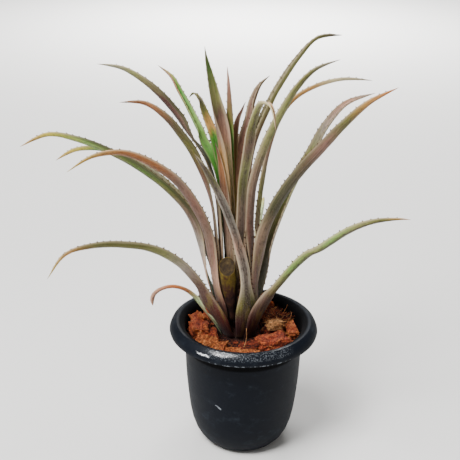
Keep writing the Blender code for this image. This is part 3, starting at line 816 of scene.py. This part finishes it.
class Leaf:
    """The shape of one leaf: where any point of its sheath and blade lies."""

    def __init__(self, name, seed):
        azimuth, self.ring, self.sheath, self.blade, self.sweep, points, *_ = LEAVES[name]
        turn = math.radians(azimuth)
        self.outward = Vector((math.cos(turn), math.sin(turn), 0))
        self.across = Vector((-math.sin(turn), math.cos(turn), 0))
        foot = (RING_RADIUS - RING_PITCH * self.ring, RING_LOW + RING_RISE * self.ring)
        swell = BULB - BULB_LOSS * self.ring
        bulb = [(foot[0] + swell * part, foot[1] + BULB_HEIGHT * share) for part, share in BULB_LINE]
        low = [foot] + [point for point in bulb if point[1] < points[0][1] - BULB_GAP]
        self.dense, self.lengths = curve_through([*low, *points])
        self.length = self.lengths[-1]
        usual = min(CLASP + CLASP_GROWTH * max(self.ring - CLASP_RING, 0), CLASP_MOST)
        self.clasp = CLASP_HEART if self.ring == HEART_RING else usual
        self.seed = seed
        self.tilt = -ROLL_ALONE.get(name, ROLL) * self.outward.x

    def width(self, here):
        """The width of the leaf laid flat, here being the length from its foot."""
        foot = FOOT_SHARE + (1 - FOOT_SHARE) * smoothstep(0, FOOT_LENGTH, here)
        parting = smoothstep(max(FOOT_LENGTH, self.clasp - CLASP_EASE), self.clasp + CLASP_END, here)
        waist = WAIST + (1 - WAIST) * smoothstep(self.clasp, self.clasp + WAIST_LENGTH, here)
        taper = 1 - (max(here - TAPER_START, 0) / (self.length - TAPER_START)) ** TAPER_POWER
        wander = 1 + WIDTH_WANDER * noise.noise(Vector((here * 0.05, self.seed, 0)))
        across = self.sheath + (self.blade * waist - self.sheath) * parting
        return across * foot * taper * wander + TIP_WIDTH

    def at(self, side, along, lift=0.0):
        """A point in the plant's frame: side is -1 to 1, along is 0 to 1, and lift is off the middle face."""
        here = along * self.length
        steps = (here - RUN_STEP, here, here + RUN_STEP)
        reaches, heights = (np.interp(steps, self.lengths, line) for line in self.dense.T)
        reach, height = reaches[1], heights[1]
        run = Vector((reaches[2] - reaches[0], heights[2] - heights[0])).normalized()
        parted = smoothstep(self.clasp + FREE_SPAN[0], self.clasp + FREE_SPAN[1], here)
        free = max(parted, smoothstep(*CLEAR_REACH, reach))
        roll = self.tilt * free
        back = self.outward * run.y - Vector((0, 0, run.x))
        under = back * math.cos(roll) + self.across * math.sin(roll)
        aside = self.across * math.cos(roll) - back * math.sin(roll)
        width = self.width(here)
        radius = reach + (width / (2 * CHANNEL) - reach) * free
        angle = width / (2 * radius) * side
        fade = free * smoothstep(0, TIP_FADE, 1 - along)
        groove = -GROOVE_DEPTH * math.exp(-(side / GROOVE_SHARE) ** 2) * fade
        ripple = RIPPLE * fade * noise.noise(Vector((here * 0.09, side * 1.5, self.seed)))
        off = radius + lift + groove + ripple
        drift = self.sweep * (max(along - SWEEP_START, 0) / (1 - SWEEP_START)) ** SWEEP_POWER
        point = self.outward * reach + Vector((0, 0, height)) + self.across * drift
        depth = off * math.cos(angle) - radius * (1 - SETTLE * free)
        return point + under * depth + aside * (off * math.sin(angle))


def tooth(bm, leaf, side, along, height, back):
    """One hooked tooth, rooted in the margin: a flat thorn that curves towards the leaf's tip or foot."""
    thorn = bmesh.new()
    shape = thorn.verts.layers.float_vector.new("leaf")
    grain = thorn.verts.layers.float_vector.new("grain")
    root = leaf.at(side, along)
    ahead = (leaf.at(side, min(along + 0.008, 1)) - leaf.at(side, max(along - 0.008, 0))).normalized()
    skinwards = (root - leaf.at(side * 0.86, along)).normalized()
    out = (skinwards * 0.5 + (root - leaf.at(-side, along)).normalized()).normalized()
    flat = ahead.cross(out).normalized()
    bmesh.ops.create_cone(thorn, cap_ends=True, segments=6, radius1=1, radius2=0.06, depth=1)
    bmesh.ops.subdivide_edges(thorn, edges=long_edges(thorn), cuts=2)
    for vert in thorn.verts:
        share = vert.co.z + 0.5
        rise = height * (share - TOOTH_ROOT)
        slide = back * height * TOOTH_HOOK * share ** 2 + vert.co.x * height * TOOTH_HOOK
        vert[shape] = (side * (1.05 + share), along, 0.5)
        vert[grain] = (vert.co.x, along * leaf.length, 0)
        vert.co = plant_frame() @ ((root + out * rise + ahead * slide + flat * vert.co.y * TOOTH_THICK) * MM)
    take_in(bm, thorn)


def grow_teeth(bm, leaf, seed):
    """Teeth along both margins, smaller towards the tip; the lowest ones point back to the foot."""
    draw = random.Random(seed)
    for side in (-1, 1):
        here = leaf.clasp + TOOTH_FIRST + draw.uniform(0, TOOTH_PITCH)
        while here < leaf.length + TOOTH_LAST:
            share = here / leaf.length
            height = TOOTH_HEIGHT * (1.08 - TOOTH_LOSS * share) * draw.uniform(*TOOTH_HEIGHTS)
            tooth(bm, leaf, side, share, height, 1 if share > TOOTH_BACKWARD else -1)
            here += TOOTH_PITCH * draw.uniform(*TOOTH_PITCHES)


def leaf_body(name, seed):
    """A leaf's closed mesh, and on its points what the skin reads: side, share along, face, millimetres."""
    leaf = Leaf(name, seed)
    bm = bmesh.new()
    shape = bm.verts.layers.float_vector.new("leaf")
    grain = bm.verts.layers.float_vector.new("grain")
    columns = HEART_COLUMNS if leaf.ring == HEART_RING else LEAF_COLUMNS
    bmesh.ops.create_grid(bm, x_segments=columns, y_segments=round(leaf.length / LEAF_ROW), size=1)
    front = list(bm.verts)
    copied = bmesh.ops.duplicate(bm, geom=bm.verts[:] + bm.edges[:] + bm.faces[:])["geom"]
    inner = [part for part in copied if isinstance(part, bmesh.types.BMVert)]
    for vert in inner:
        vert.co.z = -0.5
    bmesh.ops.reverse_faces(bm, faces=[part for part in copied if isinstance(part, bmesh.types.BMFace)])
    bmesh.ops.bridge_loops(bm, edges=[edge for edge in bm.edges if edge.is_boundary])
    for verts, face in ((front, 0), (inner, 1)):
        for vert in verts:
            side, along = vert.co.x, (vert.co.y + 1) / 2
            here = along * leaf.length
            half = LEAF_MARGIN + (LEAF_MID - LEAF_MARGIN) * (1 - side * side)
            thin = TIP_THIN + (1 - TIP_THIN) * smoothstep(0, TIP_SHARE, 1 - along)
            vert[shape] = (side, along, face)
            vert[grain] = (side * leaf.width(here) / 2, here, face * INNER_SHIFT)
            vert.co = plant_frame() @ (leaf.at(side, along, half * thin * (1 - 2 * face)) * MM)
    bmesh.ops.recalc_face_normals(bm, faces=bm.faces)
    if name not in BARE_LEAVES:
        grow_teeth(bm, leaf, seed)
    return bm


def spread(names):
    """Colours spaced evenly from a leaf's foot to its tip."""
    return [(step / (len(names) - 1), SKINS[name]) for step, name in enumerate(names)]


def leaf_skin(name, seed):
    """A leaf's own colours under dark streaks, red veins, silver scurf, rust and painted shade; its margins
    and teeth.
    """
    *_, outer, inner, scurf = LEAVES[name]
    finish = Finish(name + " skin", Specular_IOR_Level=0.24, Sheen_Weight=0.05, Sheen_Roughness=0.4)
    side, along, face = finish.split(finish.read("leaf"))
    grain = finish.read("grain")
    shift = (seed * 7.3, seed * 3.1, 0)
    streaks = finish.noise(finish.stretch(grain, (1.6, 0.03, 1), shift), 1, 5, 0.65)
    blotches = finish.noise(finish.stretch(grain, (0.22, 0.05, 1), shift), 1, 4)
    mottle = finish.noise(finish.stretch(grain, (0.8, 0.22, 1), shift), 1, 5, 0.7)
    specks = finish.noise(finish.stretch(grain, (1.6, 0.9, 1), shift), 1, 6, 0.8)
    veins = finish.noise(finish.stretch(grain, (3.0, 0.010, 1), shift), 1, 2)
    spots = finish.noise(finish.stretch(grain, (0.5, 0.22, 1), (seed, seed * 5.0, 0)), 1, 4, 0.7)
    edge = abs(side)
    middle = 1.0 - edge
    wander = along + (blotches - 0.5) * 0.12 + (streaks - 0.5) * 0.06
    # Dark streaks and mottle, and painted shade down the middle of the channel
    dark = streaks.clip(0.44, 0.72) * 0.5 + mottle.clip(0.46, 0.64) * 0.42 + middle.clip(0.25, 0.9) * 0.32
    dark = dark + middle.clip(0.45, 0.8) * GROOVES.get(name, 0)
    ribs = veins.clip(0.46, 0.62) * (1.0 - along.clip(0.14, 0.45))
    flush = blotches.clip(0.5, 0.62) * (1.0 - along.clip(0.16, 0.42)) * (1.0 - face)
    pale = veins.clip(0.52, 0.72) * 0.24 + specks.clip(0.47, 0.66) * 0.45 * scurf * (1.0 - 0.7 * face)
    margin = (edge + (streaks - 0.5) * 0.5).clip(0.62, 0.92) * along.clip(0.12, 0.3)
    # Painted shade along the margins, a dark green band where the shaded channel shows over the edge
    edge_shade = edge.clip(0.45, 0.8) * along.clip(0.3, 0.45) * (1.0 - along.clip(0.75, 0.95))
    rind = edge.clip(0.955, 0.985) * along.clip(0.1, 0.25)
    skin = finish.mix(face, finish.ramp(wander, spread(outer)), finish.ramp(wander, spread(inner)))
    skin = finish.coats(skin, [
        (dark.clip(0.05, 1.3), DARK_MARK_AND_SHADE), (ribs * 0.5, VEIN_RED), (flush * 0.4, FLUSH_OCHRE),
        (pale, SCURF_SILVER), (spots.clip(0.64, 0.72) * 0.6, RUST),
        (margin * (0.15 + 0.6 * scurf), MARGIN_CREAM), (edge_shade * EDGE_SHADES.get(name, 0), EDGE_SHADE_GREEN),
        # the foot's wine red, darkened also as painted shade deep in the rosette
        ((1.0 - along.clip(0.03, 0.16)) * 0.75, FOOT_RED_AND_SHADE),
        (rind * 0.5, RIND_BROWN), (edge.clip(1.02, 1.25), TOOTH_BROWN), (edge.clip(1.35, 1.75), TOOTH_TIP)])
    height = veins * 0.8 + streaks * 0.4 + specks * 0.25 * scurf + mottle * 0.3
    rough = 0.42 + 0.3 * specks + 0.1 * scurf
    return finish.shade(Base_Color=skin, Roughness=rough, Normal=finish.raised(height, 0.6, 0.0006))


for seed, name in enumerate(LEAVES, 1):
    piece(name + "_blade", leaf_body(name, seed), leaf_skin(name, seed), name)


# Flower stump
# The dried stub of an old flower shoot: a slim neck, a thick head, and a slanting cut end inside a low rim.
# It was cut off with a knife, so its face is plain, and the skin below it has dried and wrinkled.

STUMP_AZIMUTH = math.radians(251)
STUMP_FOOT = (11.0, 15.0)
STUMP_HEAD = (15.6, 75.0)
STUMP_STEPS = 56
STUMP_LINE = [(0, 60), (3.0, 59.6), (5.8, 57), (6.4, 54.5), (6.72, 52), (6.8, 49.5), (6.78, 47), (6.7, 44.5),
              (6.58, 42), (6.48, 39.5), (6.39, 37), (6.25, 34.5), (6.1, 32), (5.9, 29), (5.5, 26), (5.1, 23),
              (4.75, 19.2), (3.7, 15), (2.8, 12), (2.8, 6), (2.8, 0), (0, 0)]
STUMP_CUT = 0.873
STUMP_CUT_SLOPE = 0.9
STUMP_RIM = 0.0007
STUMP_RIM_HEIGHT = 0.0003
STUMP_SHRINK = 0.03
STUMP_WRINKLE = 0.03
STUMP_LUMP = 0.05
STUMP_SMOOTH = (0.012, 0.03)
BARK_TONES = [(0.32, "1d0b0a"), (0.46, "381b10"), (0.56, "4d3c0c"), (0.76, "6f5c1c")]
CUT_TONES = [(0.30, "110b05"), (0.46, "281c0e"), (0.57, "40321a"), (0.72, "655636")]


def stump_skin():
    finish = Finish("dried shoot", Specular_IOR_Level=0.25)
    where = finish.place()
    cut, _, along = finish.split(finish.read("shoot"))
    crust = finish.noise(where, 420, 8, 0.75)
    lumps = finish.noise(where, 170, 4, 0.6)
    fibre = finish.noise(finish.stretch(where, (1, 1, 0.12)), 700, 4)
    # The bark is darker towards the bottom
    bark_tone = crust * 0.35 + fibre * 0.3 + lumps * 0.55 - (1.0 - along.clip(0.3, 0.8)) * 0.22
    face = finish.ramp(crust * 0.65 + lumps * 0.4 - 0.03, CUT_TONES)
    colour = finish.mix(cut.clip(0.35, 0.6), finish.ramp(bark_tone, BARK_TONES), face)
    bump = finish.raised(crust * 0.9 + fibre * 0.4 + lumps * 0.4, 1.0, 0.0012)
    return finish.shade(Base_Color=colour, Roughness=0.75 + 0.2 * crust, Normal=bump)


stump = turn_profile(STUMP_LINE, STUMP_STEPS)
shoot = stump.verts.layers.float_vector.new("shoot")
foot, head = (Vector((reach * math.cos(STUMP_AZIMUTH), reach * math.sin(STUMP_AZIMUTH), height)) * MM
              for reach, height in (STUMP_FOOT, STUMP_HEAD))
tall = (head - foot).length
slant = Vector((0, -STUMP_CUT_SLOPE, 1)).normalized()
sliced = bmesh.ops.bisect_plane(stump, geom=stump.verts[:] + stump.edges[:] + stump.faces[:], plane_no=slant,
                                plane_co=(0, 0, tall * STUMP_CUT), clear_outer=True)
for vert in stump.verts:
    wrinkle = noise.fractal(Vector((vert.co.x * 900, vert.co.y * 900, vert.co.z * 160)), 0.9, 2.1, 4)
    rough = STUMP_WRINKLE * wrinkle + STUMP_LUMP * noise.noise(vert.co * 190)
    vert.co.xy *= 1 - STUMP_SHRINK + rough * smoothstep(*STUMP_SMOOTH, vert.co.z)
    vert[shoot] = (0, 0, vert.co.z / tall)
rim = [part for part in sliced["geom_cut"] if isinstance(part, bmesh.types.BMEdge)]
cut_face = bmesh.ops.contextual_create(stump, geom=rim)["faces"]
bmesh.ops.inset_region(stump, faces=cut_face, thickness=STUMP_RIM, depth=-STUMP_RIM_HEIGHT)
for vert in cut_face[0].verts:
    vert[shoot] = (1, 0, 1)
bmesh.ops.recalc_face_normals(stump, faces=stump.faces)
upright = Vector((0, 0, 1)).rotation_difference(head - foot).to_matrix().to_4x4()
bmesh.ops.transform(stump, matrix=plant_frame() @ Matrix.Translation(foot) @ upright, verts=stump.verts)
piece("flower_stump_dried", stump, stump_skin(), "flower_stump")


# Studio
# A plain pale floor that fills the view, soft lamps above and beside the plant, and the camera.

FLOOR_REACH = 9.0
FLOOR_TONES = ("d9d8d6", "dedddb")
BACKDROP = "dcdbd9"
BACKDROP_LIGHT = 0.48
LENS = 66.5
CAMERA_SPOT = (-0.0121, -0.6168, 0.4540)
CAMERA_PITCH = math.radians(66.8)
CAMERA_ROLL = math.radians(0.7)

# Each lamp: name, kind, place, what it aims at, its spread in radians or metres, and its strength
PLANT_MIDDLE = (0, 0, 0.15)
LAMPS = [
    ("ceiling_light", "SUN", (-0.5, -0.4, 1.5), PLANT_MIDDLE, 0.5, 4.0),
    ("key_lamp", "AREA", (-0.45, -0.45, 0.95), PLANT_MIDDLE, 0.3, 10.0),
    ("rim_lamp", "AREA", (0.05, 0.55, 1.4), PLANT_MIDDLE, 0.4, 11.0),
    ("backdrop_lamp", "AREA", (0.05, 2.1, 0.9), (0.05, 2.1, 0), 0.6, 60.0)]

floor = bmesh.new()
bmesh.ops.create_grid(floor, x_segments=1, y_segments=1, size=FLOOR_REACH)
floor_mesh = bpy.data.meshes.new("studio_floor")
floor.to_mesh(floor_mesh)
floor.free()
paper = Finish("pale paper", Roughness=0.9, Specular_IOR_Level=0.1)
paper_colour = paper.mix(paper.noise(paper.place(), 0.8, 2), *(paint(code) for code in FLOOR_TONES))
floor_mesh.materials.append(paper.shade(Base_Color=paper_colour))
floor_object = bpy.data.objects.new("studio_floor", floor_mesh)
bpy.context.scene.collection.objects.link(floor_object)

sky = bpy.data.worlds.new("studio air")
sky.use_nodes = True
sky.node_tree.nodes["Background"].inputs["Color"].default_value = paint(BACKDROP)
sky.node_tree.nodes["Background"].inputs["Strength"].default_value = BACKDROP_LIGHT
bpy.context.scene.world = sky

for name, kind, spot, aim, size, power in LAMPS:
    light = bpy.data.lights.new(name, kind)
    if kind == "SUN":
        light.angle = size
    else:
        light.shape = "SQUARE"
        light.size = size
    light.energy = power
    lamp = bpy.data.objects.new(name, light)
    lamp.location = spot
    lamp.rotation_euler = (Vector(aim) - Vector(spot)).to_track_quat("-Z", "Y").to_euler()
    bpy.context.scene.collection.objects.link(lamp)

view = bpy.data.cameras.new("photo_view")
view.sensor_width = 36.0
view.lens = LENS
camera = bpy.data.objects.new("photo_view", view)
pitch = Matrix.Rotation(CAMERA_PITCH, 4, "X") @ Matrix.Rotation(CAMERA_ROLL, 4, "Z")
camera.matrix_world = Matrix.Translation(CAMERA_SPOT) @ pitch
bpy.context.scene.collection.objects.link(camera)
bpy.context.scene.camera = camera
